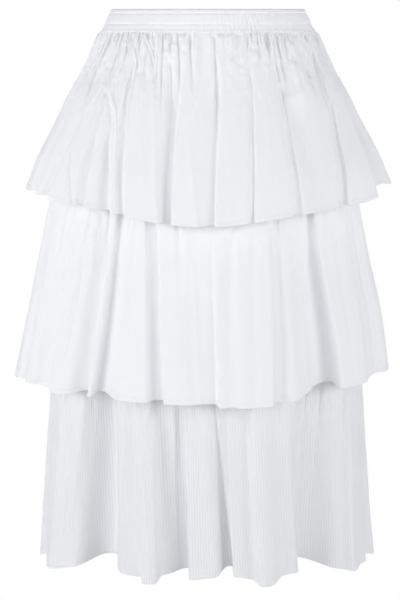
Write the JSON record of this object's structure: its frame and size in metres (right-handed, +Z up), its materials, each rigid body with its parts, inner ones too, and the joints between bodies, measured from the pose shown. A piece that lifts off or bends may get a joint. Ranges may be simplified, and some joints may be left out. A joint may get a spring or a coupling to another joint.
{
  "type": "tiered ruffle skirt",
  "caption": "Midi skirt with an elasticated waistband, a plain base and gathered ruffle tiers that overlap, filled out as if worn, open at the waist and hem.",
  "frame": {"origin": "centre of the waist opening, at half the height of the waistband", "axes": "+Z up out of the waist opening, -Y towards the front, +X towards the viewer's right"},
  "size_m": [0.504, 0.3962, 0.7372],
  "materials": {
    "poplin": "crisp white cotton poplin, matt, with a faint sheen",
    "striped_poplin": "white cotton with a fine woven lengthwise self-stripe, matt"
  },
  "bodies": {
    "root": {"waistband_front": "poplin", "waistband_back": "poplin", "base_front": "poplin", "base_back": "poplin", "tier_1_front": "poplin", "tier_1_back": "poplin", "tier_2_front": "poplin", "tier_2_back": "poplin", "tier_3_front": "striped_poplin", "tier_3_back": "striped_poplin"}
  },
  "joints": []
}
